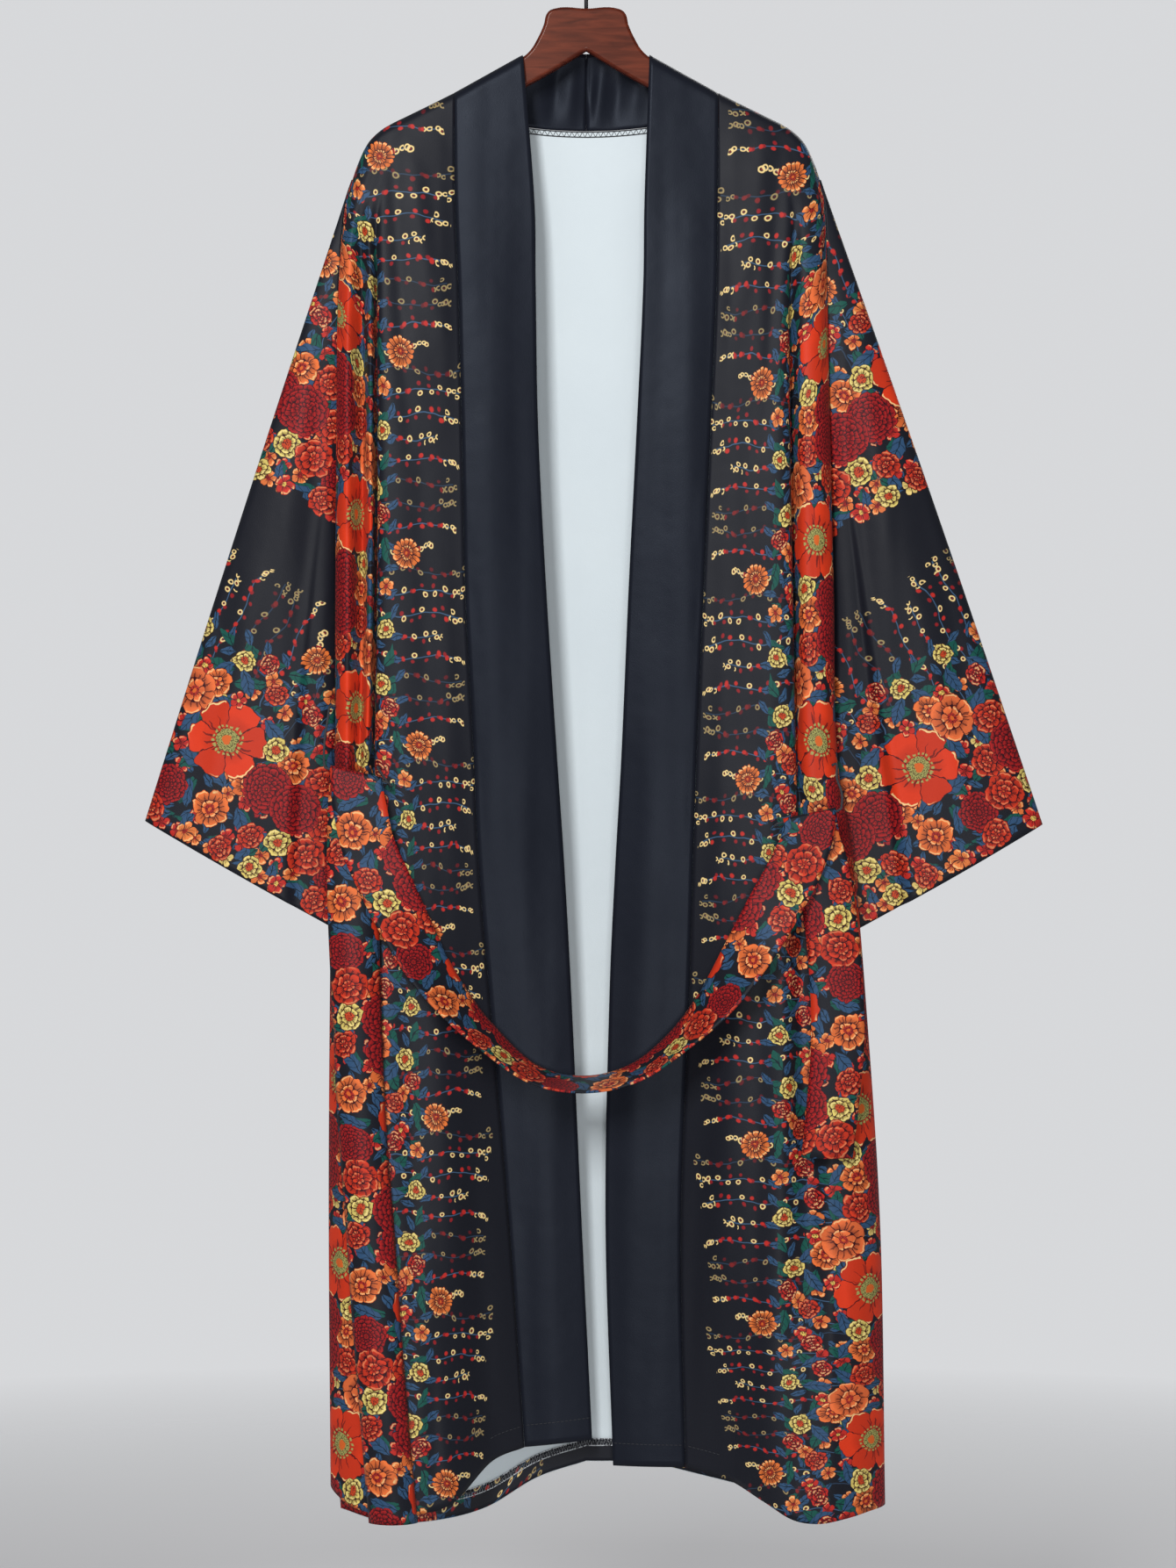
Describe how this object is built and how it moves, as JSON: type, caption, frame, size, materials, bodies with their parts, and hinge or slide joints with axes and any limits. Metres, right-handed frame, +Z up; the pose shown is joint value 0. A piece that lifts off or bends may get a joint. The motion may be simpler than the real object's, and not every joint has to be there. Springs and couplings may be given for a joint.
{
  "type": "kimono coat on a clothes hanger",
  "caption": "Long open kimono coat with a plain neck band, flower-border print, wide sleeves and a hung tie belt, on a wooden hanger with a wire hook.",
  "frame": {"origin": "inner top of the hanger's hook, where a rail carries it", "axes": "+Z up, -Y the coat's front, +X to the right as the coat is seen from the front"},
  "size_m": [0.7682, 0.1044, 1.3624],
  "materials": {
    "printed_satin": "printed satin, soft sheen",
    "black_satin": "plain satin, soft sheen",
    "red_brown_wood": "gloss lacquer",
    "black_wire": "black, satin"
  },
  "bodies": {
    "root": {"back": "printed_satin", "belt": "printed_satin", "belt_loop_left": "black_satin", "belt_loop_right": "black_satin", "front_left": "printed_satin", "front_right": "printed_satin", "hanger_hook": "black_wire", "hanger_wood": "red_brown_wood", "neck_band_left": "black_satin", "neck_band_right": "black_satin", "sleeve_left": "printed_satin", "sleeve_right": "printed_satin"}
  },
  "joints": []
}
